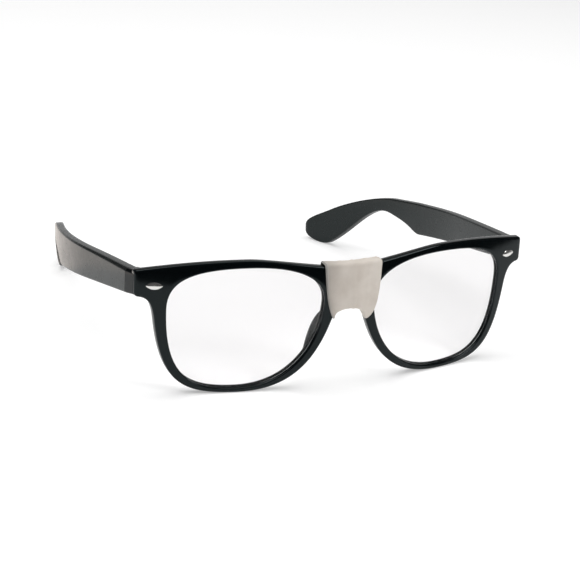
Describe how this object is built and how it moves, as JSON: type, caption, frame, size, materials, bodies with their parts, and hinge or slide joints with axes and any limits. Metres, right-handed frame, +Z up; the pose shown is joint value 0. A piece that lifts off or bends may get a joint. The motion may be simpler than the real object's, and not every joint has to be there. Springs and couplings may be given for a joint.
{
  "type": "eyeglasses",
  "caption": "Thick-rimmed square eyeglasses with clear lenses, folding temples and white cloth tape wound round the bridge.",
  "frame": {"origin": "centre of the footprint on the surface that the rims and temple tips stand on", "axes": "+Z up, X across the face with the wearer's right at -X, the front faces -Y and the temples run back to +Y"},
  "size_m": [0.1538, 0.157, 0.0469],
  "materials": {
    "gloss_black": "polished moulded plastic",
    "temple_black": "satin moulded plastic",
    "clear_lens": "clear, uncoloured",
    "tape_cloth": "matt woven cloth tape",
    "hinge_metal": "plain nickel plated",
    "stud_metal": "polished"
  },
  "bodies": {
    "front": {"front_frame": "gloss_black", "lens_right": "clear_lens", "lens_left": "clear_lens", "bridge_tape": "tape_cloth", "front_hinge_right": "hinge_metal", "front_hinge_left": "hinge_metal", "hinge_screw_right": "hinge_metal", "hinge_screw_left": "hinge_metal", "front_stud_right": "stud_metal", "front_stud_left": "stud_metal"},
    "temple_right": {"temple_right": "temple_black", "temple_hinge_right": "hinge_metal"},
    "temple_left": {"temple_left": "temple_black", "temple_hinge_left": "hinge_metal"}
  },
  "joints": [
    {"name": "fold_left", "type": "hinge", "parent": "front", "child": "temple_left", "pos_m": [0.06705, -0.05709, 0.03727], "axis": [0, -0.0294, 0.9996], "range_deg": [0, 88]},
    {"name": "fold_right", "type": "hinge", "parent": "front", "child": "temple_right", "pos_m": [-0.06705, -0.05709, 0.03727], "axis": [0, 0.0294, -0.9996], "range_deg": [0, 82]}
  ]
}
